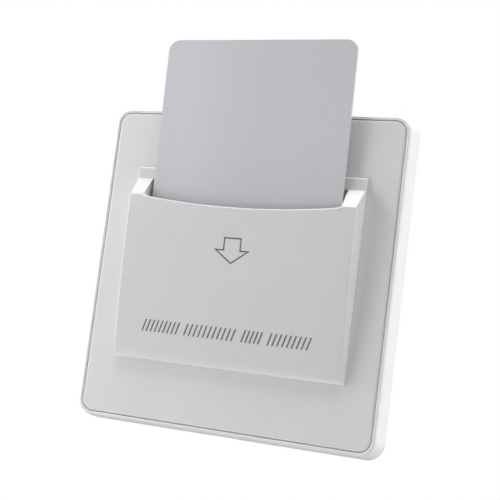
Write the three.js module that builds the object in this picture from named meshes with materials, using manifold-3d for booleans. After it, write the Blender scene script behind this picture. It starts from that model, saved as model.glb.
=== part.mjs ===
// Hotel key-card reader switch on an 86 mm wall plate, with its card inserted.
// Millimetres. X is to the right seen from the room, Y runs into the wall, Z is up.
// The origin is the centre of the plate on the wall plane, so everything in front of the wall has Y < 0.
import * as THREE from 'three';
import { mergeVertices } from 'three/addons/utils/BufferGeometryUtils.js';
import Module from 'manifold-3d';

const wasm = await Module();
wasm.setup();

// ---- driving dimensions ----

// trim frame
const PLATE_HALF = 43;
const PLATE_DEPTH = 5.65;
const PLATE_CORNER = 4.6;
const RIM_HALF = 41.63;
const RIM_CORNER = 3.7;
const RIM_ROUND_OUT = 0.8;
const RIM_ROUND_BACK = 2.1;
const FRAME_RECESS_HALF = 41.15;
const FRAME_HOLLOW_HALF = 41.1;
const LEDGE_HALF = 38.4;
const LEDGE_FRONT = -3.55;
const LEDGE_BACK = -2.3;

// front panel
const PANEL_HALF = 40.88;
const PANEL_CORNER = 3.2;
const PANEL_THICKNESS = 1.8;
const PANEL_EDGE_ROUND = 0.6;

// card pocket; heights are measured forward from the panel's face
const POCKET_HALF_WIDTH = 32.65;
const POCKET_DRAFT = 0.14;
const POCKET_SEAT_GAP = 0.05;
const PAD_HEIGHT = 0.9;
const PAD_TOP = 25.95;
const CHEEK_BACK_Z = 22.75;
const CHEEK_FRONT_Z = 17.85;
const POCKET_FRONT_HEIGHT = 4.95;
const POCKET_WALL = 1.6;
const POCKET_BOTTOM = -25.6;
const SLOT_HALF_WIDTH = 28;
const SLOT_BOTTOM = -25.14;
const PEG_X = 30.3;
const PEG_Z = 19;

// key card, ISO ID-1 format
const CARD_WIDTH = 53.98;
const CARD_LENGTH = 85.6;
const CARD_THICKNESS = 0.76;
const CARD_CORNER = 3.18;
const CARD_CENTRE = { x: 0.2, height: 1.7, z: 17.87 };
const CARD_LEAN = THREE.MathUtils.degToRad(2.2);
const CARD_ROLL = THREE.MathUtils.degToRad(0.15);
const CARD_CLEARANCE = 0.3;

// mounting base
const BASE_HALF = 37;
const BASE_THICKNESS = 2;
const BASE_LIP = 1;
const BASE_OPENING_HALF = 20.6;
const BASE_OPENING_CHAMFER = 8;
const WALL_SCREW_X = 30.15;

// rear housing
const HOUSING_HALF = 25;
const HOUSING_WALL = 1.8;
const HOUSING_FRONT = 0.3;
const HOUSING_BACK = 28;
const BOSS_XZ = 20.3;
const BOSS_RADIUS = 3;
const RIB_X = 20.9;

// circuit boards
const MAIN_BOARD_HALF = 22.6;
const MAIN_BOARD_CHAMFER = 9.4;
const MAIN_BOARD_FRONT = 8;
const MAIN_BOARD_BACK = 9.6;
const ANTENNA_BOARD_HALF = 20;
const ANTENNA_BOARD_CHAMFER = 7.4;
const ANTENNA_BOARD_FRONT = -1.2;
const ANTENNA_BOARD_BACK = -0.2;
const SOLDER_GAP = 0.1;

// terminal block
const POLE_COUNT = 4;
const POLE_PITCH = 5.08;
const BLOCK_HALF_WIDTH = 10.7;
const BLOCK_BOTTOM = -22.9;
const BLOCK_TOP = -12.9;
const BLOCK_FRONT = 9.9;
const BLOCK_BACK = 27.4;
const TERMINAL_SCREW_Z = -19.2;

// ---- materials ----

const material = (color, roughness, metalness) => (
  new THREE.MeshStandardMaterial({ color, roughness, metalness })
);
const MATERIALS = {
  trimPlastic: material(0xeeefee, 0.32, 0),
  panelPlastic: material(0xdcdddb, 0.5, 0),
  pocketPlastic: material(0xd8d9d8, 0.5, 0),
  cardVinyl: material(0xcfd0d8, 0.3, 0),
  basePlastic: material(0xe6e6e2, 0.6, 0),
  boardLaminate: material(0x1d6b3a, 0.45, 0),
  copper: material(0xb87333, 0.35, 1),
  blackMoulding: material(0x1c1c1e, 0.5, 0),
  steel: material(0xb9bcc0, 0.3, 1),
  brass: material(0xc9a44c, 0.35, 1),
  relayBlue: material(0x2a6fc0, 0.4, 0),
  ferrite: material(0x3a3b3d, 0.7, 0),
  windingTape: material(0xe0c23a, 0.55, 0),
  capacitorYellow: material(0xe3b52c, 0.4, 0),
  sleeveBlack: material(0x22242c, 0.4, 0),
  varistorBlue: material(0x1f4f9e, 0.45, 0),
  fuseBrown: material(0x5b3a22, 0.5, 0),
  terminalGreen: material(0x2f8f4e, 0.5, 0),
  lensClear: material(0xf4f6e8, 0.2, 0),
  nylon: material(0xf0efe9, 0.6, 0),
};

// ---- helpers ----

function toSolid(geometry) {
  const bare = geometry.clone();
  bare.deleteAttribute('normal');
  bare.deleteAttribute('uv');
  const merged = mergeVertices(bare, 1e-4);
  return new wasm.Manifold(new wasm.Mesh({
    numProp: 3,
    vertProperties: new Float32Array(merged.attributes.position.array),
    triVerts: new Uint32Array(merged.index.array),
  }));
}

function toGeometry(solid) {
  const mesh = solid.getMesh();
  const geometry = new THREE.BufferGeometry();
  geometry.setAttribute('position', new THREE.BufferAttribute(mesh.vertProperties, 3));
  geometry.setIndex(new THREE.BufferAttribute(mesh.triVerts, 1));
  geometry.computeVertexNormals();
  return geometry;
}

function union(...geometries) {
  return geometries.map(toSolid).reduce((sum, solid) => sum.add(solid));
}

function cut(solid, ...geometries) {
  return geometries.reduce((left, geometry) => left.subtract(toSolid(geometry)), solid);
}

const model = new THREE.Group();

function place(name, shape, look, parent = model) {
  const geometry = shape.isBufferGeometry ? shape : toGeometry(shape);
  const mesh = new THREE.Mesh(geometry, look);
  mesh.name = name;
  parent.add(mesh);
  return mesh;
}

// A box given by its lower and upper corner.
function box(x0, y0, z0, x1, y1, z1) {
  const geometry = new THREE.BoxGeometry(x1 - x0, y1 - y0, z1 - z0);
  return geometry.translate((x0 + x1) / 2, (y0 + y1) / 2, (z0 + z1) / 2);
}

// A round bar along Y.
function bar(radius, y0, y1, x, z, segments = 12) {
  const geometry = new THREE.CylinderGeometry(radius, radius, y1 - y0, segments);
  return geometry.translate(x, (y0 + y1) / 2, z);
}

function roundedRectangle(halfWidth, halfHeight, radius) {
  const shape = new THREE.Shape();
  shape.moveTo(halfWidth, radius - halfHeight);
  shape.lineTo(halfWidth, halfHeight - radius);
  shape.absarc(halfWidth - radius, halfHeight - radius, radius, 0, Math.PI / 2);
  shape.lineTo(radius - halfWidth, halfHeight);
  shape.absarc(radius - halfWidth, halfHeight - radius, radius, Math.PI / 2, Math.PI);
  shape.lineTo(-halfWidth, radius - halfHeight);
  shape.absarc(radius - halfWidth, radius - halfHeight, radius, Math.PI, Math.PI * 1.5);
  shape.lineTo(halfWidth - radius, -halfHeight);
  shape.absarc(halfWidth - radius, radius - halfHeight, radius, Math.PI * 1.5, Math.PI * 2);
  return shape;
}

const roundedSquare = (half, radius) => roundedRectangle(half, half, radius);

function chamferedSquare(half, chamfer) {
  const inner = half - chamfer;
  return new THREE.Shape([
    new THREE.Vector2(half, -inner),
    new THREE.Vector2(half, inner),
    new THREE.Vector2(inner, half),
    new THREE.Vector2(-inner, half),
    new THREE.Vector2(-half, inner),
    new THREE.Vector2(-half, -inner),
    new THREE.Vector2(-inner, -half),
    new THREE.Vector2(inner, -half),
  ]);
}

// A plate drawn in the front view (X, Z) that fills Y from front to back.
function plate(shape, front, back, corners = 3) {
  const geometry = new THREE.ExtrudeGeometry(shape, {
    depth: back - front,
    bevelEnabled: false,
    curveSegments: corners,
  });
  return geometry.rotateX(Math.PI / 2).translate(0, back, 0);
}

// A plate with both its front and its back edge rounded; the shape is its front face.
function roundedPlate(shape, front, back, roundOut, roundBack, corners = 4, steps = 3) {
  const geometry = new THREE.ExtrudeGeometry(shape, {
    depth: back - front - 2 * roundBack,
    bevelThickness: roundBack,
    bevelSize: roundOut,
    bevelSegments: steps,
    curveSegments: corners,
  });
  return geometry.rotateX(Math.PI / 2).translate(0, back - roundBack, 0);
}

// A bar whose section is drawn in the side view, as (Y, Z), and runs along X.
function sideBar(points, x0, x1) {
  const geometry = new THREE.ExtrudeGeometry(new THREE.Shape(points), {
    depth: x1 - x0,
    bevelEnabled: false,
  });
  const axes = new THREE.Matrix4().makeBasis(
    new THREE.Vector3(0, 1, 0),
    new THREE.Vector3(0, 0, 1),
    new THREE.Vector3(1, 0, 0),
  );
  return geometry.applyMatrix4(axes).translate(x0, 0, 0);
}

// A screw along Y: its head starts at headFront and its shank ends at tip.
function screw({ headRadius, headHeight, shankRadius, headFront, tip, x, z, drive }) {
  const seat = headFront + headHeight;
  const profile = [
    new THREE.Vector2(0, headFront),
    new THREE.Vector2(headRadius * 0.72, headFront),
    new THREE.Vector2(headRadius, headFront + headHeight * 0.45),
    new THREE.Vector2(headRadius, seat),
    new THREE.Vector2(shankRadius, seat),
    new THREE.Vector2(shankRadius, tip - shankRadius * 0.8),
    new THREE.Vector2(shankRadius * 0.35, tip),
    new THREE.Vector2(0, tip),
  ];
  const body = toSolid(new THREE.LatheGeometry(profile, 16));
  const arm = headRadius * 0.62;
  const half = headRadius * 0.11;
  const slots = [box(-arm, headFront - 1, -half, arm, headFront + headHeight * 0.5, half)];
  if (drive === 'cross') {
    slots.push(box(-half, headFront - 1, -arm, half, headFront + headHeight * 0.5, arm));
  }
  return toGeometry(cut(body, ...slots)).translate(x, 0, z);
}

// Height of the pocket's card above the panel's face at a given Z.
const cardHeight = (z) => CARD_CENTRE.height + (z - CARD_CENTRE.z) * Math.tan(CARD_LEAN);
const forward = (height) => -PLATE_DEPTH - height;

// ---- front cover: trim frame, panel and card pocket ----

const frontCover = new THREE.Group();
model.add(frontCover);

// The side wall leans out from the rounded rim to the wall plane.
function frameWall() {
  const front = -PLATE_DEPTH + RIM_ROUND_BACK;
  const wall = plate(roundedSquare(PLATE_HALF, PLATE_CORNER), front, 0, 4);
  const shrink = (RIM_HALF + RIM_ROUND_OUT) / PLATE_HALF;
  const position = wall.attributes.position;
  for (let i = 0; i < position.count; i += 1) {
    if (position.getY(i) < front + 0.01) {
      position.setX(i, position.getX(i) * shrink);
      position.setZ(i, position.getZ(i) * shrink);
    }
  }
  return wall;
}

const HOOK_SPOTS = [-24, 24];

function trimFrame() {
  const rim = roundedPlate(
    roundedSquare(RIM_HALF, RIM_CORNER),
    -PLATE_DEPTH,
    -PLATE_DEPTH + 2 * RIM_ROUND_BACK + 0.4,
    RIM_ROUND_OUT,
    RIM_ROUND_BACK,
  );
  const hollowed = cut(
    union(frameWall(), rim),
    plate(roundedSquare(FRAME_RECESS_HALF, 3.45), -10, LEDGE_FRONT, 4),
    plate(roundedSquare(LEDGE_HALF, 1.6), -10, 5),
    plate(roundedSquare(FRAME_HOLLOW_HALF, 3.4), LEDGE_BACK, 5),
  );
  // Snap hooks hang from the ledge beside the mounting base, two on each side of the plate.
  const hooks = HOOK_SPOTS.flatMap((spot) => [
    box(37.4, LEDGE_FRONT, spot - 4, LEDGE_HALF + 0.2, -0.5, spot + 4),
    box(-LEDGE_HALF - 0.2, LEDGE_FRONT, spot - 4, -37.4, -0.5, spot + 4),
    box(spot - 4, LEDGE_FRONT, 37.4, spot + 4, -0.5, LEDGE_HALF + 0.2),
    box(spot - 4, LEDGE_FRONT, -LEDGE_HALF - 0.2, spot + 4, -0.5, -37.4),
  ]);
  const prySlot = box(-4, -1, -PLATE_HALF - 1, 4, 1, -40);
  return cut(hollowed.add(union(...hooks)), prySlot);
}

place('trim_frame', trimFrame(), MATERIALS.trimPlastic, frontCover);

// The space the card slides in, as a side-view outline; it leans with the card.
function slotSpace() {
  const behind = (z) => forward(cardHeight(z) - CARD_THICKNESS / 2 - CARD_CLEARANCE);
  const wallInside = pocketOutline()
    .filter((point) => point.z > SLOT_BOTTOM && point.z < CHEEK_FRONT_Z)
    .map(({ height, z }) => {
      const cardFront = cardHeight(z) + CARD_THICKNESS / 2 + CARD_CLEARANCE;
      return new THREE.Vector2(forward(Math.max(height - POCKET_WALL, cardFront)), z);
    });
  const lowest = wallInside[wallInside.length - 1];
  const highest = wallInside[0];
  const outline = [
    new THREE.Vector2(behind(SLOT_BOTTOM), SLOT_BOTTOM),
    new THREE.Vector2(behind(PAD_TOP + 4), PAD_TOP + 4),
    new THREE.Vector2(highest.x, PAD_TOP + 4),
    ...wallInside,
    new THREE.Vector2(lowest.x, SLOT_BOTTOM),
  ];
  return sideBar(outline.reverse(), -SLOT_HALF_WIDTH, SLOT_HALF_WIDTH);
}

// The pocket's bulged front in the side view, from the cheeks' front edge down.
function pocketOutline() {
  const curve = new THREE.SplineCurve([
    new THREE.Vector2(POCKET_FRONT_HEIGHT, CHEEK_FRONT_Z),
    new THREE.Vector2(4.72, 9),
    new THREE.Vector2(4.28, 1),
    new THREE.Vector2(3.88, -5),
    new THREE.Vector2(3.24, -12),
    new THREE.Vector2(2.56, -18),
    new THREE.Vector2(2.02, -22),
    new THREE.Vector2(1.45, -24.4),
    new THREE.Vector2(0.95, -25.3),
  ]);
  return curve.getPoints(20).map((point) => ({ height: point.x, z: point.y }));
}

function pocketBlock() {
  const outline = [
    [POCKET_SEAT_GAP, PAD_TOP],
    [PAD_HEIGHT - 0.35, PAD_TOP],
    [PAD_HEIGHT - 0.1, PAD_TOP - 0.12],
    [PAD_HEIGHT, PAD_TOP - 0.4],
    [PAD_HEIGHT, CHEEK_BACK_Z],
    ...pocketOutline().map(({ height, z }) => [height, z]),
    [0.5, POCKET_BOTTOM + 0.05],
    [POCKET_SEAT_GAP, POCKET_BOTTOM],
  ];
  const points = outline.map(([height, z]) => new THREE.Vector2(forward(height), z));
  const block = sideBar(points, -POCKET_HALF_WIDTH, POCKET_HALF_WIDTH);
  const position = block.attributes.position;
  for (let i = 0; i < position.count; i += 1) {
    const height = -PLATE_DEPTH - position.getY(i);
    position.setX(i, Math.sign(position.getX(i)) * (POCKET_HALF_WIDTH - POCKET_DRAFT * height));
  }
  return block;
}

// Everything in front of the pad, between the cheeks and above the dipped lip.
function lipSpace() {
  const half = [
    [SLOT_HALF_WIDTH, CHEEK_FRONT_Z + 0.1],
    [27.2, 17.62],
    [26, 17.4],
    [22, 16.98],
    [15, 16.38],
    [7.5, 16],
  ];
  const mirrored = half.map(([x, z]) => [-x, z]);
  const dip = [...mirrored, [0, 15.88], ...half.reverse()];
  const curve = new THREE.SplineCurve(dip.map(([x, z]) => new THREE.Vector2(x, z)));
  const shape = new THREE.Shape([
    ...curve.getPoints(32),
    new THREE.Vector2(SLOT_HALF_WIDTH, 40),
    new THREE.Vector2(-SLOT_HALF_WIDTH, 40),
  ]);
  return plate(shape, forward(9), forward(PAD_HEIGHT));
}

const PEGS = [[-PEG_X, -PEG_Z], [PEG_X, -PEG_Z], [-PEG_X, PEG_Z], [PEG_X, PEG_Z]];

function cardPocket() {
  const padWindow = box(
    -SLOT_HALF_WIDTH, forward(PAD_HEIGHT + 0.1), SLOT_BOTTOM,
    SLOT_HALF_WIDTH, forward(0) + 1, CHEEK_BACK_Z,
  );
  const shell = cut(toSolid(pocketBlock()), lipSpace(), slotSpace(), padWindow);
  const pegs = PEGS.map(([x, z]) => bar(1.1, forward(0.5), -3.3, x, z, 12));
  return shell.add(union(...pegs));
}

place('card_pocket', cardPocket(), MATERIALS.pocketPlastic, frontCover);

function frontPanel() {
  const sheet = roundedPlate(
    roundedSquare(PANEL_HALF - PANEL_EDGE_ROUND, PANEL_CORNER - PANEL_EDGE_ROUND),
    -PLATE_DEPTH,
    -PLATE_DEPTH + PANEL_THICKNESS,
    PANEL_EDGE_ROUND,
    PANEL_EDGE_ROUND,
    4,
    2,
  );
  const pegHoles = PEGS.map(([x, z]) => bar(1.4, -10, 0, x, z, 12));
  return cut(toSolid(sheet), slotSpace(), ...pegHoles);
}

place('front_panel', frontPanel(), MATERIALS.panelPlastic, frontCover);

// ---- key card ----

function keyCard() {
  const outline = roundedRectangle(CARD_WIDTH / 2, CARD_LENGTH / 2, CARD_CORNER);
  return plate(outline, -CARD_THICKNESS / 2, CARD_THICKNESS / 2, 4);
}

const card = place('key_card', keyCard(), MATERIALS.cardVinyl);
card.rotation.set(CARD_LEAN, -CARD_ROLL, 0);
card.position.set(CARD_CENTRE.x, forward(CARD_CENTRE.height), CARD_CENTRE.z);

// ---- mounting base and its screws ----

const slottedHole = (halfLength, halfHeight, front, back, x) => (
  plate(roundedRectangle(halfLength, halfHeight, halfHeight - 0.01), front, back).translate(x, 0, 0)
);

const CORNERS = [[-1, 1], [1, 1], [-1, -1], [1, -1]];

function mountingBase() {
  const sheet = union(
    plate(roundedSquare(BASE_HALF, 3), -BASE_THICKNESS, 0),
    plate(roundedSquare(BASE_HALF, 3), -BASE_THICKNESS - BASE_LIP, -BASE_THICKNESS + 0.2),
  );
  const lipInside = plate(roundedSquare(BASE_HALF - 1.4, 2), -10, -BASE_THICKNESS);
  const opening = plate(chamferedSquare(BASE_OPENING_HALF, BASE_OPENING_CHAMFER), -10, 5);
  const wallSlots = [-WALL_SCREW_X, WALL_SCREW_X].flatMap((x) => [
    slottedHole(4, 2.3, -10, 5, x),
    slottedHole(6, 4.3, -10, -0.9, x),
  ]);
  const cornerHoles = CORNERS.flatMap(([sx, sz]) => [
    bar(1.6, -10, 5, sx * BOSS_XZ, sz * BOSS_XZ),
    bar(2.9, -10, -1, sx * BOSS_XZ, sz * BOSS_XZ),
  ]);
  return cut(sheet, lipInside, opening, ...wallSlots, ...cornerHoles);
}

place('mounting_base', mountingBase(), MATERIALS.basePlastic);

[-WALL_SCREW_X, WALL_SCREW_X].forEach((x, i) => {
  const geometry = screw({
    headRadius: 3.6, headHeight: 2.2, shankRadius: 1.95, headFront: -3.2, tip: 22, x, z: 0, drive: 'cross',
  });
  place(`mounting_screw_${i + 1}`, geometry, MATERIALS.steel);
});

CORNERS.forEach(([sx, sz], i) => {
  const geometry = screw({
    headRadius: 2.4, headHeight: 1.6, shankRadius: 1.25, headFront: -2.7, tip: 9,
    x: sx * BOSS_XZ, z: sz * BOSS_XZ, drive: 'cross',
  });
  place(`housing_screw_${i + 1}`, geometry, MATERIALS.steel);
});

// ---- rear housing ----

function rearHousing() {
  const inner = HOUSING_HALF - HOUSING_WALL;
  const cup = cut(
    toSolid(plate(roundedSquare(HOUSING_HALF, 2.6), HOUSING_FRONT, HOUSING_BACK)),
    plate(roundedSquare(inner, 1.2), -1, HOUSING_BACK - HOUSING_WALL),
  );
  const bosses = CORNERS.map(([sx, sz]) => (
    bar(BOSS_RADIUS, HOUSING_FRONT, 14, sx * BOSS_XZ, sz * BOSS_XZ)
  ));
  const gussets = CORNERS.map(([sx, sz]) => box(
    Math.min(sx * 20.3, sx * 23.4), HOUSING_FRONT, Math.min(sz * 20.3, sz * 23.4),
    Math.max(sx * 20.3, sx * 23.4), 14, Math.max(sz * 20.3, sz * 23.4),
  ));
  const ribs = [
    box(19.2, MAIN_BOARD_BACK + 0.3, -3, inner + 0.2, HOUSING_BACK - 1, 3),
    box(-inner - 0.2, MAIN_BOARD_BACK + 0.3, -3, -19.2, HOUSING_BACK - 1, 3),
  ];
  const screwHoles = [
    ...CORNERS.map(([sx, sz]) => bar(1.55, -1, 12, sx * BOSS_XZ, sz * BOSS_XZ)),
    ...[-RIB_X, RIB_X].map((x) => bar(1.3, 5, 18, x, 0)),
  ];
  const terminalBay = box(-11.2, 14, -HOUSING_HALF - 1, 11.2, HOUSING_BACK + 1, BLOCK_TOP + 0.3);
  return cut(cup.add(union(...bosses, ...gussets, ...ribs)), ...screwHoles, terminalBay);
}

place('rear_housing', rearHousing(), MATERIALS.basePlastic);

// ---- circuit boards ----

function mainBoard() {
  const sheet = plate(
    chamferedSquare(MAIN_BOARD_HALF, MAIN_BOARD_CHAMFER), MAIN_BOARD_FRONT, MAIN_BOARD_BACK,
  );
  const holes = [-RIB_X, RIB_X].map((x) => bar(1.3, 5, 12, x, 0));
  return cut(toSolid(sheet), ...holes);
}

place('main_board', mainBoard(), MATERIALS.boardLaminate);

[-RIB_X, RIB_X].forEach((x, i) => {
  const geometry = screw({
    headRadius: 1.6, headHeight: 1.3, shankRadius: 1, headFront: MAIN_BOARD_FRONT - 1.35, tip: 16,
    x, z: 0, drive: 'cross',
  });
  place(`board_screw_${i + 1}`, geometry, MATERIALS.steel);
});

place(
  'antenna_board',
  plate(
    chamferedSquare(ANTENNA_BOARD_HALF, ANTENNA_BOARD_CHAMFER), ANTENNA_BOARD_FRONT, ANTENNA_BOARD_BACK,
  ),
  MATERIALS.boardLaminate,
);

function antennaCoil() {
  const back = ANTENNA_BOARD_FRONT - SOLDER_GAP;
  const loop = toSolid(plate(roundedSquare(18, 8), back - 0.5, back, 4));
  return cut(loop, plate(roundedSquare(15.2, 5.4), back - 2, back + 2, 4));
}

place('antenna_coil', antennaCoil(), MATERIALS.copper);

// Two nylon posts and the pin header hold the antenna board off the main board.
[-15.5, 15.5].forEach((x, i) => {
  const post = bar(2.2, ANTENNA_BOARD_BACK + SOLDER_GAP, MAIN_BOARD_FRONT - SOLDER_GAP, x, -13, 12);
  place(`board_post_${i + 1}`, post, MATERIALS.nylon);
});

function boardHeader() {
  const pins = Array.from({ length: 6 }, (_, i) => {
    const x = (i - 2.5) * 2.54;
    return box(
      x - 0.32, ANTENNA_BOARD_BACK + SOLDER_GAP, 14.68,
      x + 0.32, MAIN_BOARD_FRONT - SOLDER_GAP, 15.32,
    );
  });
  return union(box(-7.6, 5.2, 13.75, 7.6, 7.7, 16.25), ...pins);
}

place('board_header', boardHeader(), MATERIALS.blackMoulding);

// A flat chip package with its two rows of legs standing on the main board's front.
function chip(x, z, halfWidth, halfHeight, thickness, legs, legPitch) {
  const seat = MAIN_BOARD_FRONT - SOLDER_GAP;
  const body = box(
    x - halfWidth, seat - 0.2 - thickness, z - halfHeight, x + halfWidth, seat - 0.2, z + halfHeight,
  );
  const rows = [];
  for (let i = 0; i < legs; i += 1) {
    const legX = x + (i - (legs - 1) / 2) * legPitch;
    rows.push(box(legX - 0.2, seat - 0.8, z - halfHeight - 1, legX + 0.2, seat, z + halfHeight + 1));
  }
  return union(body, ...rows);
}

place('reader_chip', chip(-6, 6, 5.1, 3.7, 2.1, 7, 1.27), MATERIALS.blackMoulding);
place('controller_chip', chip(9, 5, 2.5, 1.95, 1.5, 4, 1.27), MATERIALS.blackMoulding);

const crystalCan = plate(roundedRectangle(5.1, 1.9, 1.85), 4.3, MAIN_BOARD_FRONT - SOLDER_GAP);
place('crystal', crystalCan.translate(-7, 0, -5), MATERIALS.steel);
place('bridge_rectifier', chip(8, -7, 4.2, 3.2, 3, 2, 5.08), MATERIALS.blackMoulding);

[-8, 8].forEach((x, i) => {
  const back = ANTENNA_BOARD_FRONT - SOLDER_GAP;
  place(`pocket_led_${i + 1}`, box(x - 1.75, back - 1.4, 9, x + 1.75, back, 11.8), MATERIALS.lensClear);
});

// ---- power parts on the main board's back ----

const POWER_SEAT = MAIN_BOARD_BACK + SOLDER_GAP;

place('relay_base', box(-18.4, POWER_SEAT, 1.4, 0.2, POWER_SEAT + 1.6, 16.5), MATERIALS.blackMoulding);

function relayCover() {
  const seat = POWER_SEAT + 1.8;
  const shell = toSolid(plate(roundedRectangle(9.5, 7.75, 0.8), seat, 25.2, 3));
  return cut(shell, plate(roundedRectangle(8.7, 6.95, 0.4), seat - 1, 24.2, 3));
}

place('relay_cover', toGeometry(relayCover()).translate(-9.1, 0, 8.95), MATERIALS.relayBlue);

// The core's middle leg runs along Z through the winding.
function transformerCore() {
  const frame = toSolid(box(2.6, 12.6, 3.4, 18.6, 19.6, 16.6));
  return cut(
    frame,
    box(4.6, 10, 5.4, 8.4, 22, 14.6),
    box(12.8, 10, 5.4, 16.6, 22, 14.6),
  );
}

place('transformer_core', transformerCore(), MATERIALS.ferrite);

function transformerWinding() {
  const wound = union(
    box(4.9, 10.6, 6.6, 16.3, 21.6, 13.4),
    box(4.9, 10.2, 5.7, 16.3, 22, 6.7),
    box(4.9, 10.2, 13.3, 16.3, 22, 14.3),
    ...[6.2, 10.6, 15].flatMap((x) => [
      box(x - 0.3, POWER_SEAT, 5.9, x + 0.3, 10.6, 6.5),
      box(x - 0.3, POWER_SEAT, 13.5, x + 0.3, 10.6, 14.1),
    ]),
  );
  return cut(wound, box(8.1, 12.3, 4, 13.1, 19.9, 16));
}

place('transformer_winding', transformerWinding(), MATERIALS.windingTape);

place('film_capacitor', box(-18, POWER_SEAT, -10.5, -5, POWER_SEAT + 11, -5.5), MATERIALS.capacitorYellow);

// An aluminium can with a rounded top and the crimp groove near its seat.
function electrolytic(radius, height, x, z) {
  const profile = [
    [0, 0], [radius, 0], [radius, 1], [radius - 0.35, 1.4], [radius, 1.8],
    [radius, height - 0.5], [radius - 0.5, height], [0, height],
  ].map(([r, y]) => new THREE.Vector2(r, y));
  return new THREE.LatheGeometry(profile, 20).translate(x, POWER_SEAT, z);
}

place('electrolytic_capacitor_1', electrolytic(4, 12.5, 14, -5.4), MATERIALS.sleeveBlack);
place('electrolytic_capacitor_2', electrolytic(3.15, 11, 4.8, -5.6), MATERIALS.sleeveBlack);

function varistor() {
  const disc = new THREE.CylinderGeometry(3.5, 3.5, 3.4, 20).rotateX(Math.PI / 2);
  disc.translate(-14.8, 15.2, -14);
  const legs = [-2.5, 2.5].map((x) => (
    box(-14.8 + x - 0.3, POWER_SEAT, -14.3, -14.8 + x + 0.3, 14.4, -13.7)
  ));
  return union(disc, ...legs);
}

place('varistor', varistor(), MATERIALS.varistorBlue);
place('fuse', bar(3.8, POWER_SEAT, POWER_SEAT + 8, 15.4, -14.5, 20), MATERIALS.fuseBrown);

// ---- terminal block: captive screws raise clamp cages round fixed contact bars ----

const poleX = (i) => (i - (POLE_COUNT - 1) / 2) * POLE_PITCH;
const POLES = Array.from({ length: POLE_COUNT }, (_, i) => poleX(i));

function terminalBlock() {
  const body = toSolid(box(
    -BLOCK_HALF_WIDTH, BLOCK_FRONT, BLOCK_BOTTOM, BLOCK_HALF_WIDTH, BLOCK_BACK, BLOCK_TOP,
  ));
  const spaces = POLES.flatMap((x) => [
    box(x - 1.95, 14.3, BLOCK_BOTTOM - 1, x + 1.95, 22.7, -15.6),
    box(x - 1.2, BLOCK_FRONT - 1, -16, x + 1.2, 19.4, -14),
    bar(1.4, 22, 24, x, TERMINAL_SCREW_Z),
    bar(2.1, 23.2, BLOCK_BACK + 1, x, TERMINAL_SCREW_Z),
  ]);
  return cut(body, ...spaces);
}

place('terminal_block', terminalBlock(), MATERIALS.terminalGreen);

function contactBar(x) {
  return union(
    box(x - 0.85, 18.1, -22, x + 0.85, 18.9, -14.5),
    box(x - 0.85, BLOCK_FRONT, -15.3, x + 0.85, 18.9, -14.5),
  );
}

function clampCage(x) {
  const body = toSolid(box(x - 1.65, 14.6, -22.3, x + 1.65, 20.6, -16.1));
  return cut(body, box(x - 1.15, 15.6, -24, x + 1.15, 19.2, -14), bar(1.25, 19, 22, x, TERMINAL_SCREW_Z));
}

// The head faces the rear, so the screw is drawn along -Y and turned round.
function terminalScrew(x) {
  const geometry = screw({
    headRadius: 1.75, headHeight: 2, shankRadius: 1, headFront: -25.5, tip: -19.2, x: 0, z: 0, drive: 'slot',
  });
  return geometry.rotateX(Math.PI).translate(x, 0, TERMINAL_SCREW_Z);
}

POLES.forEach((x, i) => {
  place(`contact_bar_${i + 1}`, contactBar(x), MATERIALS.brass);
  place(`clamp_cage_${i + 1}`, clampCage(x), MATERIALS.steel);
  place(`terminal_screw_${i + 1}`, terminalScrew(x), MATERIALS.steel);
});

export default model;
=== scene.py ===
"""Visual model of a wall key-card reader switch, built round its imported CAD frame."""

import math

import bmesh
import bpy
from mathutils import Matrix, Vector


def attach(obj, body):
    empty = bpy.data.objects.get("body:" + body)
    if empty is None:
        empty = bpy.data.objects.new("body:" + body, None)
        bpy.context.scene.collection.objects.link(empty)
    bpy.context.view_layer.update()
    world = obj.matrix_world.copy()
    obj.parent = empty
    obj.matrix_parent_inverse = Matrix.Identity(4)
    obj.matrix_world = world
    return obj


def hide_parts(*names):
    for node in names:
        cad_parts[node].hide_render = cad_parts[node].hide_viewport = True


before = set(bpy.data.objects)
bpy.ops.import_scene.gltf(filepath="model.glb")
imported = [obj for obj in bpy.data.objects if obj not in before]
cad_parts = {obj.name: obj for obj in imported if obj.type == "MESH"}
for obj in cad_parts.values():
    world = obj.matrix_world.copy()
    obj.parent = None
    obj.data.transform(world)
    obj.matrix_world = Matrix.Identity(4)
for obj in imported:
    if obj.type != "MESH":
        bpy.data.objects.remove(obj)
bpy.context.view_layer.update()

MM = 0.001

# ---- sizes in millimetres, the CAD's except for the finer gap round the panel ----

PLATE_DEPTH = 5.65
RIM_CORNER_SLOPE = 0.652
LEDGE_HALF = 38.4
PANEL_HALF = 41.02
PANEL_CORNER = 3.2
PANEL_BACK = -3.85
PAD_HEIGHT = 0.9
PAD_TOP = 25.95
CHEEK_BACK_Z = 22.75
POCKET_HALF_WIDTH = 32.65
POCKET_DRAFT = 0.14
POCKET_WALL = 1.6
POCKET_SEAT_GAP = 0.05
POCKET_EDGE = 0.3
LIP_EDGE = 0.45
SLOT_HALF_WIDTH = 28.0
SLOT_BOTTOM = -25.14
PEGS = [(-30.3, -19), (30.3, -19), (-30.3, 19), (30.3, 19)]
CARD_HALF = (26.99, 42.8)
CARD_CORNER = 3.18
CARD_HALF_THICKNESS = 0.38
CARD_CENTRE = (0.2, 1.7, 17.87)
CARD_LEAN = math.radians(2.2)
CARD_ROLL = math.radians(0.15)
CARD_CLEARANCE = 0.3


def forward(height):
    """Y of a point that stands this far in front of the panel's face."""
    return -PLATE_DEPTH - height


# ---- mesh helpers; every shape is drawn in millimetres ----


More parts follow.
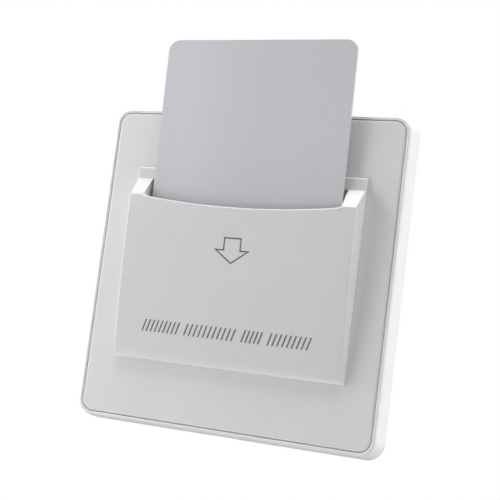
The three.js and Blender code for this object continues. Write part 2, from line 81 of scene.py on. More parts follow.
def shape(name, verts, faces):
    mesh = bpy.data.meshes.new(name)
    mesh.from_pydata([Vector(v) * MM for v in verts], [], faces)
    obj = bpy.data.objects.new(name, mesh)
    bpy.context.scene.collection.objects.link(obj)
    bm = bmesh.new()
    bm.from_mesh(mesh)
    bmesh.ops.remove_doubles(bm, verts=bm.verts, dist=1e-7)
    bmesh.ops.recalc_face_normals(bm, faces=bm.faces)
    bm.to_mesh(mesh)
    bm.free()
    return obj


def outline(half_x, half_z, radius, steps=10):
    """A rounded rectangle's points, anticlockwise in the front view."""
    points = []
    for quarter, (sx, sz) in enumerate(((1, 1), (-1, 1), (-1, -1), (1, -1))):
        for i in range(steps + 1):
            angle = math.pi / 2 * (quarter + i / steps)
            points.append((
                sx * (half_x - radius) + radius * math.cos(angle),
                sz * (half_z - radius) + radius * math.sin(angle),
            ))
    return points


def eased(points, setbacks, steps=5):
    """A closed outline with each corner rounded off; a setback is one number or a pair."""
    rounded = []
    for i, corner in enumerate(points):
        setback = setbacks[i]
        if not setback:
            rounded.append(tuple(corner))
            continue
        first, second = setback if isinstance(setback, tuple) else (setback, setback)
        here = Vector(corner)
        start = here + (Vector(points[i - 1]) - here).normalized() * first
        end = here + (Vector(points[(i + 1) % len(points)]) - here).normalized() * second
        for k in range(steps + 1):
            t = k / steps
            rounded.append(tuple(start * (1 - t) ** 2 + here * 2 * t * (1 - t) + end * t * t))
    return rounded


def loft(name, loops, closed=False):
    """Joins loops of points into a skin, closed on itself or capped at both ends."""
    count = len(loops[0])
    faces = []
    for k in range(len(loops) if closed else len(loops) - 1):
        a, b = k * count, (k + 1) % len(loops) * count
        for i in range(count):
            j = (i + 1) % count
            faces.append((a + i, a + j, b + j, b + i))
    if not closed:
        faces.append(tuple(range(count)))
        faces.append(tuple(range((len(loops) - 1) * count, len(loops) * count)))
    return shape(name, [point for loop in loops for point in loop], faces)


def front_prism(name, points, front, back):
    """A prism of an (x, z) outline between two Y planes."""
    return loft(name, [[(x, y, z) for x, z in points] for y in (front, back)])


def side_prism(name, points, x0, x1):
    """A prism of a (y, z) outline along X."""
    return loft(name, [[(x, y, z) for y, z in points] for x in (x0, x1)])


def block(name, low, high):
    (x0, y0, z0), (x1, y1, z1) = low, high
    return front_prism(name, [(x0, z0), (x1, z0), (x1, z1), (x0, z1)], y0, y1)


def rod(name, radius, y0, y1, x, z, sides=32, ease=0.0):
    profile = [(radius - ease, y0), (radius, y0 + ease), (radius, y1 - ease), (radius - ease, y1)]
    if not ease:
        profile = [(radius, y0), (radius, y1)]
    return turned(name, profile, x, z, sides)


def turned(name, profile, x, z, sides=40):
    """A shape turned about an axis along Y, from (radius, y) pairs, capped at both ends."""
    loops = []
    for radius, y in profile:
        ring = [2 * math.pi * i / sides for i in range(sides)]
        loops.append([(x + radius * math.cos(a), y, z + radius * math.sin(a)) for a in ring])
    return loft(name, loops)


def bake(obj):
    """Applies the object's modifiers to its mesh."""
    graph = bpy.context.evaluated_depsgraph_get()
    mesh = bpy.data.meshes.new_from_object(obj.evaluated_get(graph), depsgraph=graph)
    old = obj.data
    obj.modifiers.clear()
    obj.data = mesh
    bpy.data.meshes.remove(old)


def combine(obj, operation, *tools):
    for tool in tools:
        modifier = obj.modifiers.new("combine", "BOOLEAN")
        modifier.operation = operation
        modifier.solver = "EXACT"
        modifier.object = tool
        bake(obj)
        bpy.data.objects.remove(tool)


def tidy(obj, angle=0.3):
    """Merges the flat faces that booleans leave split."""
    bm = bmesh.new()
    bm.from_mesh(obj.data)
    bmesh.ops.remove_doubles(bm, verts=bm.verts, dist=2e-6)
    bmesh.ops.dissolve_limit(
        bm, angle_limit=math.radians(angle), verts=bm.verts, edges=bm.edges,
        delimit={"NORMAL"},
    )
    bm.to_mesh(obj.data)
    bm.free()


def soften(obj, width, segments=3, angle=30, smooth=32):
    """Rounds the sharp edges, then smooths the shading between them."""
    if width:
        modifier = obj.modifiers.new("soften", "BEVEL")
        modifier.width = width * MM
        modifier.segments = segments
        modifier.limit_method = "ANGLE"
        modifier.angle_limit = math.radians(angle)
        modifier.use_clamp_overlap = True
        bake(obj)
    obj.data.polygons.foreach_set("use_smooth", [True] * len(obj.data.polygons))
    obj.data.set_sharp_from_angle(angle=math.radians(smooth))
    modifier = obj.modifiers.new("shade", "WEIGHTED_NORMAL")
    modifier.keep_sharp = True
    bake(obj)


def round_edges(obj, width, chosen, segments=3, angle=28):
    """Rounds the sharp edges whose middle passes the test."""
    bm = bmesh.new()
    bm.from_mesh(obj.data)
    edges = []
    for edge in bm.edges:
        middle = (edge.verts[0].co + edge.verts[1].co) / 2 / MM
        if edge.is_manifold and edge.calc_face_angle() > math.radians(angle) and chosen(*middle):
            edges.append(edge)
    bmesh.ops.bevel(
        bm, geom=edges, offset=width * MM, offset_type="OFFSET", segments=segments,
        profile=0.5, affect="EDGES", clamp_overlap=False,
    )
    bm.to_mesh(obj.data)
    bm.free()


def fit(obj, body, slot, material, *nodes):
    """Makes the piece ride on its body, stand for its CAD nodes and wear its material."""
    obj.data.materials.clear()
    obj.data.materials.append(material)
    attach(obj, body)
    if nodes:
        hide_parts(*nodes)


# ---- materials ----


class Look:
    """A Principled material whose detail follows the object's own coordinates."""

    def __init__(self, name, roughness, metallic=0.0, specular=0.5):
        self.material = bpy.data.materials.new(name)
        self.material.use_nodes = True
        self.nodes = self.material.node_tree.nodes
        self.links = self.material.node_tree.links
        self.shader = self.nodes["Principled BSDF"]
        self.shader.inputs["Metallic"].default_value = metallic
        self.shader.inputs["Roughness"].default_value = roughness
        self.shader.inputs["Specular IOR Level"].default_value = specular
        self.place = self.nodes.new("ShaderNodeTexCoord").outputs["Object"]
        self.height = None

    def stretched(self, scale):
        mapping = self.nodes.new("ShaderNodeMapping")
        mapping.inputs["Scale"].default_value = scale
        self.links.new(self.place, mapping.inputs["Vector"])
        return mapping.outputs["Vector"]

    def noise(self, feature_mm, detail=2.0, stretch=(1, 1, 1)):
        """Noise whose features are about this many millimetres across."""
        node = self.nodes.new("ShaderNodeTexNoise")
        node.inputs["Scale"].default_value = 1 / (feature_mm * MM)
        node.inputs["Detail"].default_value = detail
        self.links.new(self.stretched(stretch), node.inputs["Vector"])
        return node.outputs["Fac"]

    def span(self, value, low, high):
        """Maps noise's usual reach onto low to high."""
        node = self.nodes.new("ShaderNodeMapRange")
        node.inputs["From Min"].default_value = 0.3
        node.inputs["From Max"].default_value = 0.7
        node.inputs["To Min"].default_value = low
        node.inputs["To Max"].default_value = high
        self.links.new(value, node.inputs["Value"])
        return node.outputs["Result"]

    def tones(self, value, *stops):
        """Base colour from (position, colour) stops along a value."""
        ramp = self.nodes.new("ShaderNodeValToRGB")
        while len(ramp.color_ramp.elements) < len(stops):
            ramp.color_ramp.elements.new(0.5)
        for element, (position, colour) in zip(ramp.color_ramp.elements, stops):
            element.position = position
            element.color = (*colour, 1)
        self.links.new(value, ramp.inputs["Fac"])
        self.links.new(ramp.outputs["Color"], self.shader.inputs["Base Color"])

    def gloss(self, value, low, high):
        self.links.new(self.span(value, low, high), self.shader.inputs["Roughness"])

    def bump(self, value, depth_mm, strength=1.0):
        node = self.nodes.new("ShaderNodeBump")
        node.inputs["Distance"].default_value = depth_mm * MM
        node.inputs["Strength"].default_value = strength
        self.links.new(value, node.inputs["Height"])
        if self.height:
            self.links.new(self.height, node.inputs["Normal"])
        self.height = node.outputs["Normal"]
        self.links.new(self.height, self.shader.inputs["Normal"])


def shade(colour, factor):
    return tuple(min(1.0, channel * factor) for channel in colour)


def moulded(name, colour, roughness, grain_mm=0.22, grain_depth=0.006, drift=0.015, wave=0.012):
    """Injection-moulded plastic: spark-eroded grain, faint flow tone and uneven gloss."""
    look = Look(name, roughness)
    flow = look.noise(18, 2.0)
    look.tones(flow, (0.3, shade(colour, 1 - drift)), (0.7, shade(colour, 1 + drift)))
    look.gloss(look.noise(3.5, 3.0), roughness - 0.05, roughness + 0.05)
    look.bump(look.noise(grain_mm, 2.0), grain_depth)
    look.bump(look.noise(9, 1.0), wave, 0.4)
    return look.material


STREAK = (1, 12, 1)
STREAK_MM = 0.6


def plated(name, colour, roughness):
    """Plated or drawn metal with fine streaks and slight staining."""
    look = Look(name, roughness, metallic=1.0)
    stain = look.noise(1.6, 3.0)
    look.tones(stain, (0.3, shade(colour, 0.82)), (0.55, colour), (0.75, shade(colour, 1.08)))
    look.gloss(look.noise(STREAK_MM, 3.0, STREAK), roughness - 0.08, roughness + 0.12)
    look.bump(look.noise(STREAK_MM, 3.0, STREAK), 0.01)
    return look.material


def laminate(name):
    """Solder mask over copper: the traces show as paler, slightly raised runs."""
    look = Look(name, 0.35)
    brick = look.nodes.new("ShaderNodeTexBrick")
    brick.inputs["Scale"].default_value = 1
    brick.inputs["Brick Width"].default_value = 6.5
    brick.inputs["Row Height"].default_value = 1.6
    brick.inputs["Mortar Size"].default_value = 0.16
    brick.inputs["Mortar Smooth"].default_value = 0.1
    swap = look.nodes.new("ShaderNodeMapping")
    swap.inputs["Rotation"].default_value = (math.radians(90), 0, 0)
    swap.inputs["Scale"].default_value = (1000, 1000, 1000)
    look.links.new(look.place, swap.inputs["Vector"])
    look.links.new(swap.outputs["Vector"], brick.inputs["Vector"])
    trace = brick.outputs["Fac"]
    look.tones(trace, (0.2, (0.012, 0.105, 0.035)), (0.8, (0.05, 0.22, 0.085)))
    look.gloss(look.noise(1.2, 2.0), 0.28, 0.42)
    look.bump(trace, 0.03)
    return look.material


def vinyl(name, colour):
    """Laminated card: silky face with faint lengthwise roller streaks, whose tone also carries painted shade
    (lighter on the card's left, darker on its right), and dust-fine grain.
    """
    look = Look(name, 0.33, specular=0.45)
    # Painted shade: this streak noise's size and tone order make the card lighter on its left and darker on
    # its right, on top of the real roller streaks.
    roller_streaks_and_painted_shade = look.noise(26, 1.5, (1, 1, 0.07))
    look.tones(roller_streaks_and_painted_shade, (0.3, shade(colour, 1.035)), (0.7, shade(colour, 0.965)))
    look.gloss(look.noise(2.5, 3.0), 0.3, 0.37)
    look.bump(look.noise(14, 1.0, (1, 1, 0.35)), 0.012, 0.5)
    look.bump(look.noise(0.16, 1.0), 0.0015)
    return look.material


def wrapped(name, colour, roughness, lap_mm):
    """Tape or sleeve wound round a part, with its laps as shallow steps."""
    look = Look(name, roughness)
    wave = look.nodes.new("ShaderNodeTexWave")
    wave.wave_profile = "SAW"
    wave.bands_direction = "Y"
    wave.inputs["Scale"].default_value = 1 / (lap_mm * MM) / 20
    wave.inputs["Distortion"].default_value = 0.4
    look.links.new(look.place, wave.inputs["Vector"])
    look.tones(wave.outputs["Fac"], (0.0, shade(colour, 0.86)), (0.25, colour), (1.0, shade(colour, 1.06)))
    look.gloss(look.noise(1.5, 2.0), roughness - 0.06, roughness + 0.08)
    look.bump(wave.outputs["Fac"], 0.03)
    return look.material


def ink(name, colour):
    """Pad-printed ink: matt, with a slightly broken edge tone."""
    look = Look(name, 0.6)
    look.tones(look.noise(0.25, 2.0), (0.3, shade(colour, 0.85)), (0.7, shade(colour, 1.2)))
    look.gloss(look.noise(0.6, 2.0), 0.5, 0.7)
    return look.material


WHITE_TRIM = moulded("trim_plastic_look", (0.80, 0.805, 0.79), 0.42, grain_depth=0.002, wave=0.004)
WHITE_PANEL = moulded("panel_plastic_look", (0.76, 0.765, 0.75), 0.5)
WHITE_POCKET = moulded("pocket_plastic_look", (0.712, 0.717, 0.71), 0.48)
WHITE_BASE = moulded("base_plastic_look", (0.74, 0.74, 0.71), 0.58, grain_mm=0.3, grain_depth=0.01)
CARD_VINYL = vinyl("card_vinyl_look", (0.66, 0.664, 0.704))
INK = ink("print_ink_look", (0.15, 0.15, 0.145))
BLACK = moulded("black_moulding_look", (0.014, 0.014, 0.016), 0.48, grain_mm=0.12)
RELAY_BLUE = moulded("relay_blue_look", (0.02, 0.14, 0.5), 0.3, grain_depth=0.002)
VARISTOR_BLUE = moulded("varistor_blue_look", (0.012, 0.07, 0.33), 0.35, grain_mm=0.5)
YELLOW = moulded("capacitor_yellow_look", (0.75, 0.46, 0.025), 0.32, grain_depth=0.002)
BROWN = moulded("fuse_brown_look", (0.10, 0.045, 0.018), 0.5)
GREEN = moulded("terminal_green_look", (0.03, 0.26, 0.075), 0.5)
NYLON = moulded("nylon_look", (0.82, 0.81, 0.76), 0.55)
FERRITE = moulded("ferrite_look", (0.035, 0.036, 0.038), 0.75, grain_mm=0.1, grain_depth=0.02)
TAPE = wrapped("winding_tape_look", (0.72, 0.52, 0.04), 0.4, 1.6)
SLEEVE = wrapped("sleeve_black_look", (0.016, 0.018, 0.026), 0.35, 6)
BOARD = laminate("board_laminate_look")
STEEL = plated("steel_look", (0.62, 0.63, 0.64), 0.3)
BRASS = plated("brass_look", (0.68, 0.46, 0.16), 0.32)
COPPER = plated("copper_look", (0.82, 0.36, 0.16), 0.28)
LENS = moulded("lens_clear_look", (0.88, 0.87, 0.72), 0.15, grain_depth=0.0)

# ---- trim frame ----

HOOK_SPOTS = (-24, 24)


def square_loop(half, y, radius, steps=10):
    return [(x, y, z) for x, z in outline(half, half, radius, steps)]


def trim_frame():
    corners = [
        (43, 0), (42.1, -5.65), (41.1, -5.65), (41.1, -3.55),
        (38.4, -3.55), (38.4, -2.3), (41.1, -2.3), (41.1, 0),
    ]
    setbacks = [0.2, (2.1, 0.47), 0.52, 0, 0.2, 0.2, 0, 0.15]
    profile = eased(corners, setbacks, 8)
    loops = []
    for half, y in profile:
        loops.append(square_loop(half, y, 1.6 + (half - LEDGE_HALF) * RIM_CORNER_SLOPE, 12))
    obj = loft("trim_frame_fine", loops, closed=True)
    hooks = []
    for spot in HOOK_SPOTS:
        for side in (-1, 1):
            near, far = sorted((side * 37.4, side * (LEDGE_HALF + 0.2)))
            hooks.append(block("hook", (near, -3.4, spot - 4), (far, -0.5, spot + 4)))
            hooks.append(block("hook", (spot - 4, -3.4, near), (spot + 4, -0.5, far)))
    for hook in hooks:
        soften(hook, 0.25)
    combine(obj, "UNION", *hooks)
    combine(obj, "DIFFERENCE", block("pry_slot", (-4, -1, -44), (4, 1, -40)))
    tidy(obj)
    soften(obj, 0)
    return obj


fit(trim_frame(), "front_cover", "trim_plastic", WHITE_TRIM, "trim_frame")

# ---- card pocket and panel ----

FRONT_CURVE = [
    (4.95, 17.85), (4.94, 14.4), (4.72, 9), (4.28, 1), (3.88, -5), (3.24, -12),
    (2.56, -18), (2.02, -22), (1.45, -24.4), (0.95, -25.25), (0.45, -25.55), (0.05, -25.6),
]
LIP_CURVE = [
    (-28, 17.95), (-27.2, 17.62), (-26, 17.4), (-22, 16.98), (-15, 16.38), (-7.5, 16), (0, 15.88),
    (7.5, 16), (15, 16.38), (22, 16.98), (26, 17.4), (27.2, 17.62), (28, 17.95),
]


def spline(points, steps):
    """A smooth curve through the points."""
    smooth = [Vector(points[0])]
    for i in range(len(points) - 1):
        p0 = Vector(points[max(i - 1, 0)])
        p1, p2 = Vector(points[i]), Vector(points[i + 1])
        p3 = Vector(points[min(i + 2, len(points) - 1)])
        for k in range(1, steps + 1):
            t = k / steps
            smooth.append(0.5 * (
                2 * p1 + (p2 - p0) * t + (2 * p0 - 5 * p1 + 4 * p2 - p3) * t * t
                + (3 * p1 - p0 - 3 * p2 + p3) * t ** 3
            ))
    return [tuple(point) for point in smooth]


POCKET_FRONT = [FRONT_CURVE[0]] + spline(FRONT_CURVE[1:], 4)


def front_height(z):
    """How far the pocket's front stands off the panel at this Z."""
    for (h0, z0), (h1, z1) in zip(POCKET_FRONT, POCKET_FRONT[1:]):
        if z0 >= z >= z1:
            return h0 + (h1 - h0) * (z0 - z) / (z0 - z1)
    return POCKET_FRONT[0][0]


def card_height(z):
    return CARD_CENTRE[1] + (z - CARD_CENTRE[2]) * math.tan(CARD_LEAN)


def slot_space():
    reach = CARD_HALF_THICKNESS + CARD_CLEARANCE
    front = []
    for height, z in POCKET_FRONT:
        if z > SLOT_BOTTOM:
            front.append((forward(max(height - POCKET_WALL, card_height(z) + reach)), z))
    points = [
        (forward(card_height(SLOT_BOTTOM) - reach), SLOT_BOTTOM),
        (forward(card_height(30) - reach), 30),
        (front[0][0], 30),
        *front,
        (front[-1][0], SLOT_BOTTOM),
    ]
    return side_prism("slot_space", points, -SLOT_HALF_WIDTH, SLOT_HALF_WIDTH)


def card_pocket():
    crown = []
    for k in range(6):
        angle = math.pi / 2 * k / 5
        crown.append((PAD_HEIGHT - 0.45 + 0.45 * math.sin(angle), PAD_TOP - 0.45 + 0.45 * math.cos(angle)))
    side = [(POCKET_SEAT_GAP, PAD_TOP), *crown, (PAD_HEIGHT, CHEEK_BACK_Z), *POCKET_FRONT]
    loops = []
    for sign in (-1, 1):
        loops.append([
            (sign * (POCKET_HALF_WIDTH - POCKET_DRAFT * height), forward(height), z)
            for height, z in side
        ])
    obj = loft("card_pocket_fine", loops)
    round_edges(obj, POCKET_EDGE, lambda x, y, z: y < forward(0.1))
    lip = [*spline(LIP_CURVE, 5), (SLOT_HALF_WIDTH, 40), (-SLOT_HALF_WIDTH, 40)]
    lip_space = front_prism("lip_space", lip, forward(9), forward(PAD_HEIGHT))
    window = block(
        "window", (-SLOT_HALF_WIDTH, forward(PAD_HEIGHT + 0.1), SLOT_BOTTOM),
        (SLOT_HALF_WIDTH, forward(-1), CHEEK_BACK_Z),
    )
    combine(obj, "DIFFERENCE", lip_space, slot_space(), window)
    pegs = [rod("peg", 1.1, forward(0.5), -3.3, x, z, 24, 0.2) for x, z in PEGS]
    combine(obj, "UNION", *pegs)
    tidy(obj)
    round_edges(obj, LIP_EDGE, lambda x, y, z: 15 < z < 18.2 and abs(x) < 28.02 and y < forward(4.4))
    round_edges(obj, 0.2, lambda x, y, z: 15.6 < z < 17.7 and abs(x) < 27 and y > forward(3.8))
    round_edges(obj, 0.12, lambda x, y, z: 18.2 < z < 26 and 27.9 < abs(x) < 28.1 and y < forward(0.6))
    soften(obj, 0)
    return obj


fit(card_pocket(), "front_cover", "pocket_plastic", WHITE_POCKET, "card_pocket")


def front_panel():
    edge = eased([(0, PANEL_BACK), (PANEL_HALF, PANEL_BACK), (PANEL_HALF, forward(0)), (0, forward(0))],
                 [0, 0.2, 0.75, 0], 8)
    loops = []
    for half, y in edge[1:-1]:
        loops.append(square_loop(half, y, PANEL_CORNER - (PANEL_HALF - half)))
    obj = loft("front_panel_fine", loops)
    holes = [rod("hole", 1.4, -10, 0, x, z, 24) for x, z in PEGS]
    combine(obj, "DIFFERENCE", slot_space(), *holes)
    tidy(obj)
    soften(obj, 0)
    return obj


fit(front_panel(), "front_cover", "panel_plastic", WHITE_PANEL, "front_panel")

# ---- printing on the pocket: an insertion arrow, and hatching in place of a legend ----

PRINT_PROUD = 0.015


def on_front(x, z, proud):
    return (x, forward(front_height(z) + proud), z)


def ribbon(name, left, right, closed):
    """A thin print between two rows of (x, z) points on the pocket's front."""
    loops = []
    for row in zip(left, right):
        (x0, z0), (x1, z1) = row
        loops.append([
            on_front(x0, z0, -0.01), on_front(x1, z1, -0.01),
            on_front(x1, z1, PRINT_PROUD), on_front(x0, z0, PRINT_PROUD),
        ])
    return loft(name, loops, closed=closed)


def arrow():
    middle, shaft, head = -0.15, 2.33, 4.6
    top, shoulder, tip = 7.9, 4.75, 1.45
    corners = [
        (middle - shaft, top), (middle - shaft, shoulder), (middle - head, shoulder), (middle, tip),
        (middle + head, shoulder), (middle + shaft, shoulder), (middle + shaft, top),
    ]
    inner, outer = [], []
    half_line = 0.19
    for i, corner in enumerate(corners):
        here = Vector(corner)
        ahead = (Vector(corners[(i + 1) % len(corners)]) - here).normalized()
        behind = (here - Vector(corners[i - 1])).normalized()
        normal_a, normal_b = Vector((-ahead.y, ahead.x)), Vector((-behind.y, behind.x))
        mitre = (normal_a + normal_b).normalized()
        reach = half_line / max(mitre.dot(normal_a), 0.35)
        inner.append(here + mitre * reach)
        outer.append(here - mitre * reach)
    pieces = 6
    left, right = [], []
    for i in range(len(corners)):
        j = (i + 1) % len(corners)
        for k in range(pieces):
            left.append(tuple(inner[i].lerp(inner[j], k / pieces)))
            right.append(tuple(outer[i].lerp(outer[j], k / pieces)))
    return ribbon("pocket_arrow", left, right, closed=True)


HATCH_GROUPS = [(-24.3, -12.9), (-11.9, 3.2), (4.5, 10.7), (11.8, 23.9)]
HATCH_PITCH = 1.3
HATCH_LOW, HATCH_HIGH = -18.15, -15.0
HATCH_SLANT, HATCH_WIDTH = 1.1, 0.42


def hatch():
    strokes = []
    for start, stop in HATCH_GROUPS:
        count = max(1, round((stop - start - HATCH_SLANT - HATCH_WIDTH) / HATCH_PITCH))
        step = (stop - start - HATCH_SLANT - HATCH_WIDTH) / count
        for i in range(count + 1):
            left, right = [], []
            for k in range(5):
                z = HATCH_LOW + (HATCH_HIGH - HATCH_LOW) * k / 4
                x = start + step * i + HATCH_SLANT * k / 4
                left.append((x, z))
                right.append((x + HATCH_WIDTH, z))
            strokes.append(ribbon("stroke", left, right, closed=False))
    return joined("pocket_hatching", strokes)


def joined(name, parts):
    bm = bmesh.new()
    for part in parts:
        bm.from_mesh(part.data)
        bpy.data.objects.remove(part)
    mesh = bpy.data.meshes.new(name)
    bm.to_mesh(mesh)
    bm.free()
    obj = bpy.data.objects.new(name, mesh)
    bpy.context.scene.collection.objects.link(obj)
    return obj


fit(arrow(), "front_cover", "black_moulding", INK)
fit(hatch(), "front_cover", "black_moulding", INK)

# ---- key card ----


def key_card():
    half_x, half_z = CARD_HALF
    loops = []
    for inset, y in ((0.1, -0.38), (0.03, -0.35), (0, -0.28), (0, 0.28), (0.03, 0.35), (0.1, 0.38)):
        points = outline(half_x - inset, half_z - inset, CARD_CORNER - inset, 16)
        loops.append([(x, y, z) for x, z in points])
    obj = loft("key_card_fine", loops)
    x, height, z = CARD_CENTRE
    turn = Matrix.Rotation(CARD_LEAN, 4, "X") @ Matrix.Rotation(-CARD_ROLL, 4, "Y")
    obj.data.transform(Matrix.Translation(Vector((x, forward(height), z)) * MM) @ turn)
    soften(obj, 0)
    return obj


fit(key_card(), "card", "card_vinyl", CARD_VINYL, "key_card")

# ---- fasteners ----


def screw(name, head_radius, head_height, shank_radius, head_front, tip, x, z, pitch, cross, sides=28):
    """A turned screw along Y with a rolled thread and a driver recess."""
    seat = head_front + head_height
    rings = [(r, y, 0.0) for r, y in (
        (head_radius * 0.5, head_front),
        (head_radius * 0.8, head_front + head_height * 0.1),
        (head_radius * 0.95, head_front + head_height * 0.3),
        (head_radius, head_front + head_height * 0.55),
        (head_radius, seat - 0.12),
        (head_radius - 0.12, seat),
        (shank_radius, seat),
        (shank_radius, seat + pitch * 0.5),
    )]
    steps = 6
    start, stop = seat + pitch, tip - shank_radius * 1.2
    count = int((stop - start) / pitch * steps)
    for i in range(count + 1):
        rings.append((shank_radius, start + (stop - start) * i / count, 1.0))
    rings += [(shank_radius * 0.8, tip - shank_radius * 0.7, 0.0), (shank_radius * 0.35, tip, 0.0)]
    loops = []
    for radius, y, threaded in rings:
        loop = []
        for i in range(sides):
            angle = 2 * math.pi * i / sides
            turn = (y / pitch - i / sides) % 1.0
            r = radius - threaded * pitch * 0.5 * abs(2 * turn - 1)
            loop.append((r * math.cos(angle), y, r * math.sin(angle)))
        loops.append(loop)
    obj = loft(name, loops)
    arm, half, depth = head_radius * 0.62, head_radius * 0.11, head_front + head_height * 0.5
    tools = [block("slot", (-arm, head_front - 1, -half), (arm, depth, half))]
    if cross:
        tools.append(block("slot", (-half, head_front - 1, -arm), (half, depth, arm)))
    combine(obj, "DIFFERENCE", *tools)
    soften(obj, 0)
    obj.data.transform(Matrix.Translation(Vector((x, 0, z)) * MM))
    return obj


CORNERS = ((-1, 1), (1, 1), (-1, -1), (1, -1))
WALL_SCREW_X = 30.15
HOUSING_SCREW_REACH = 20.3
BOARD_SCREW_X = 20.9
TERMINAL_PITCH = 5.08
TERMINAL_Z = -19.2

for i, x in enumerate((-WALL_SCREW_X, WALL_SCREW_X)):
    name = f"mounting_screw_{i + 1}"
    piece = screw(f"{name}_fine", 3.6, 2.2, 1.95, -3.2, 22, x, 0, 0.7, True)
    fit(piece, "wall_unit", "steel", STEEL, name)

for i, (sx, sz) in enumerate(CORNERS):
    name = f"housing_screw_{i + 1}"
    x, z = sx * HOUSING_SCREW_REACH, sz * HOUSING_SCREW_REACH
    piece = screw(f"{name}_fine", 2.4, 1.6, 1.25, -2.7, 9, x, z, 0.9, True, 20)
    fit(piece, "wall_unit", "steel", STEEL, name)

for i, x in enumerate((-BOARD_SCREW_X, BOARD_SCREW_X)):
    name = f"board_screw_{i + 1}"
    piece = screw(f"{name}_fine", 1.6, 1.3, 1.0, 6.65, 16, x, 0, 0.8, True, 20)
    fit(piece, "wall_unit", "steel", STEEL, name)

for i in range(4):
    name = f"terminal_screw_{i + 1}"
    piece = screw(f"{name}_fine", 1.75, 2.0, 1.0, -25.5, -19.2, 0, 0, 0.45, False, 24)
    place = Matrix.Translation(Vector(((i - 1.5) * TERMINAL_PITCH, 0, TERMINAL_Z)) * MM)
    piece.data.transform(place @ Matrix.Rotation(math.pi, 4, "X"))
    fit(piece, name, "steel", STEEL, name)

# ---- mouldings, boards and bought-in parts, from their CAD solids ----


def refined(node, width=0.15, segments=2, angle=35):
    """The CAD solid as a clean mesh with its sharp edges rounded."""
    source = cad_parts[node]
    mesh = source.data.copy()
    mesh.transform(source.matrix_world)
    obj = bpy.data.objects.new(f"{node}_fine", mesh)
    bpy.context.scene.collection.objects.link(obj)
    tidy(obj, 1.0)
    soften(obj, width, segments, angle, smooth=33)
    return obj


def rear_housing():
    obj = refined("rear_housing", 0.3, 3)
    marks = [rod("mark", 1.6, 27.9, 29, x, z, 32) for x, z in ((-18, 18), (18, 18), (-18, -18), (18, -18))]
    recess = front_prism("recess", outline(14, 8, 1.2, 6), 27.75, 29)
    recess.data.transform(Matrix.Translation((0, 0, 5 * MM)))
    combine(obj, "DIFFERENCE", recess, *marks)
    soften(obj, 0)
    return obj


fit(refined("mounting_base", 0.2), "wall_unit", "base_plastic", WHITE_BASE, "mounting_base")
fit(rear_housing(), "wall_unit", "base_plastic", WHITE_BASE, "rear_housing")
fit(refined("terminal_block", 0.15), "wall_unit", "terminal_green", GREEN, "terminal_block")


def coil():
    """The antenna's turns of enamelled wire, as one flat spiral with rounded corners."""
    wire, turns, sides = 0.13, 11, 8
    centres = []
    per_turn = 48
    for i in range(turns * per_turn + 1):
        share = i / (turns * per_turn)
        half = 15.45 + 2.35 * share
        loop = outline(half, half, 5.5 + (half - 15.2), per_turn // 4 - 1)
        centres.append(loop[i % per_turn])
    loops = []
    middle = -1.3 - 0.25
    for i, (x, z) in enumerate(centres):
        before, after = Vector(centres[max(i - 1, 0)]), Vector(centres[min(i + 1, len(centres) - 1)])
        along = (after - before).normalized()
        loop = []
        for k in range(sides):
            angle = 2 * math.pi * k / sides
            out = wire * 0.75 * math.cos(angle)
            loop.append((x - along.y * out, middle + wire * 1.8 * math.sin(angle), z + along.x * out))
        loops.append(loop)
    obj = loft("antenna_coil_fine", loops)
    soften(obj, 0)
    return obj


fit(coil(), "wall_unit", "copper", COPPER, "antenna_coil")

SIMPLE = [
    ("main_board", "board_laminate", BOARD, 0.08),
    ("antenna_board", "board_laminate", BOARD, 0.08),
    ("board_post_1", "nylon", NYLON, 0.15),
    ("board_post_2", "nylon", NYLON, 0.15),
    ("board_header", "black_moulding", BLACK, 0.08),
    ("reader_chip", "black_moulding", BLACK, 0.06),
    ("controller_chip", "black_moulding", BLACK, 0.06),
    ("bridge_rectifier", "black_moulding", BLACK, 0.1),
    ("crystal", "steel", STEEL, 0.25),
    ("pocket_led_1", "lens_clear", LENS, 0.2),
    ("pocket_led_2", "lens_clear", LENS, 0.2),
    ("relay_base", "black_moulding", BLACK, 0.2),
    ("relay_cover", "relay_blue", RELAY_BLUE, 0.25),
    ("transformer_core", "ferrite", FERRITE, 0.25),
    ("transformer_winding", "winding_tape", TAPE, 0.15),
    ("film_capacitor", "capacitor_yellow", YELLOW, 0.3),
    ("electrolytic_capacitor_1", "sleeve_black", SLEEVE, 0.1),
    ("electrolytic_capacitor_2", "sleeve_black", SLEEVE, 0.1),
    ("varistor", "varistor_blue", VARISTOR_BLUE, 0.5),
    ("fuse", "fuse_brown", BROWN, 0.3),
]
for node, slot, look, width in SIMPLE:
    fit(refined(node, width), "wall_unit", slot, look, node)

for i in range(1, 5):
    fit(refined(f"contact_bar_{i}", 0.1), "wall_unit", "brass", BRASS, f"contact_bar_{i}")
    cage = f"clamp_cage_{i}"
    fit(refined(cage, 0.1), cage, "steel", STEEL, cage)

# ---- floor, light and camera ----


def studio_floor():
    """A pale floor well below the object, which the camera sees but the object isn't lit by."""
    reach, level = 1200, -360
    corners = [(-reach, -reach, level), (reach, -reach, level), (reach, reach, level), (-reach, reach, level)]
    floor = shape("studio_floor", corners, [(0, 1, 2, 3)])
    look = Look("floor_look", 0.8)
    look.tones(look.noise(400, 2.0), (0.3, (0.9, 0.9, 0.9)), (0.7, (0.93, 0.93, 0.93)))
    look.shader.inputs["Emission Color"].default_value = (1, 1, 1, 1)
    look.shader.inputs["Emission Strength"].default_value = 0.5
    floor.data.materials.append(look.material)
    floor.visible_diffuse = False
    floor.visible_glossy = False
    floor.visible_shadow = False


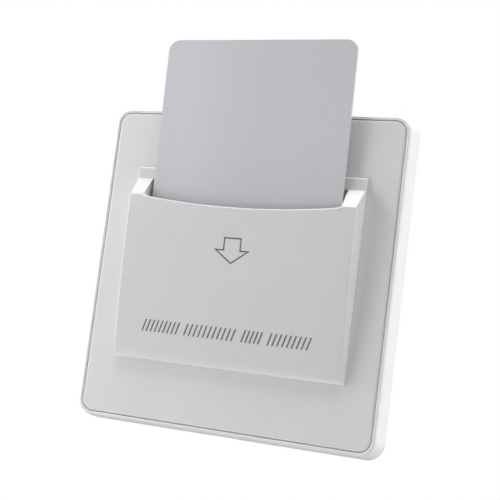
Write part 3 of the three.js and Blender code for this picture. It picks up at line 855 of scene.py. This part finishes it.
def studio_world(base, lobes):
    """A soft surround of broad lobes, brightest along each lobe's axis; the camera sees it plain white."""
    world = bpy.data.worlds.new("studio")
    world.use_nodes = True
    nodes, links = world.node_tree.nodes, world.node_tree.links
    direction = nodes.new("ShaderNodeTexCoord").outputs["Generated"]
    total = None
    for axis, strength in lobes:
        along = nodes.new("ShaderNodeVectorMath")
        along.operation = "DOT_PRODUCT"
        along.inputs[1].default_value = Vector(axis).normalized()
        links.new(direction, along.inputs[0])
        value = along.outputs["Value"]
        for operation, number in (("MAXIMUM", 0.0), ("POWER", 2.0), ("MULTIPLY", strength), ("ADD", base)):
            step = nodes.new("ShaderNodeMath")
            step.operation = operation
            step.inputs[1].default_value = number
            links.new(value, step.inputs[0])
            value = step.outputs["Value"]
        if total:
            links.new(total, step.inputs[1])
        total = value
    soft = nodes["Background"]
    soft.inputs["Color"].default_value = (1, 1, 1, 1)
    links.new(total, soft.inputs["Strength"])
    bright = nodes.new("ShaderNodeBackground")
    bright.inputs["Color"].default_value = (1, 1, 1, 1)
    bright.inputs["Strength"].default_value = 1.0
    rays = nodes.new("ShaderNodeLightPath")
    mix = nodes.new("ShaderNodeMixShader")
    links.new(rays.outputs["Is Camera Ray"], mix.inputs["Fac"])
    links.new(soft.outputs["Background"], mix.inputs[1])
    links.new(bright.outputs["Background"], mix.inputs[2])
    links.new(mix.outputs["Shader"], nodes["World Output"].inputs["Surface"])
    bpy.context.scene.world = world


def softbox(name, location, size, watts):
    data = bpy.data.lights.new(name, "AREA")
    data.shape = "RECTANGLE"
    data.size, data.size_y = size
    data.energy = watts
    lamp = bpy.data.objects.new(name, data)
    lamp.location = location
    lamp.rotation_euler = (-Vector(location)).to_track_quat("-Z", "Y").to_euler()
    bpy.context.scene.collection.objects.link(lamp)


studio_floor()
studio_world(0.04, [((1, 0, 0), 0.85), ((0, 1, 0), 0.3), ((0, 0, 1), 0.12)])
softbox("near_left", (-0.37, -0.18, 0.1), (0.2, 0.25), 0.82)
softbox("left", (-0.95, 0.0, 0.1), (0.5, 0.8), 4.2)
softbox("low_left", (-0.6, -0.5, -0.5), (0.4, 0.4), 2.7)
softbox("low_front", (0.1, -0.9, -0.5), (0.6, 0.4), 1.0)
softbox("below", (0.1, -0.35, -0.9), (0.6, 0.4), 1.3)
softbox("steep_low", (0.0, -0.18, -0.95), (0.6, 0.2), 1.9)
softbox("right", (0.95, -0.04, 0.1), (0.25, 0.6), 1.8)
softbox("right_back", (0.7, 0.65, 0.1), (0.6, 0.8), 3.0)
softbox("top", (0.0, -0.1, 0.95), (0.7, 0.5), 11.6)

camera_data = bpy.data.cameras.new("camera")
camera_data.lens = 80.35
camera_data.sensor_width = 36
camera_data.clip_start = 0.01
camera = bpy.data.objects.new("camera", camera_data)
camera.location = (0.12192, -0.2666, -0.02182)
camera.rotation_euler = [math.radians(angle) for angle in (95.538, -7.229, 23.822)]
bpy.context.scene.collection.objects.link(camera)
bpy.context.scene.camera = camera
bpy.context.scene.view_settings.view_transform = "Standard"
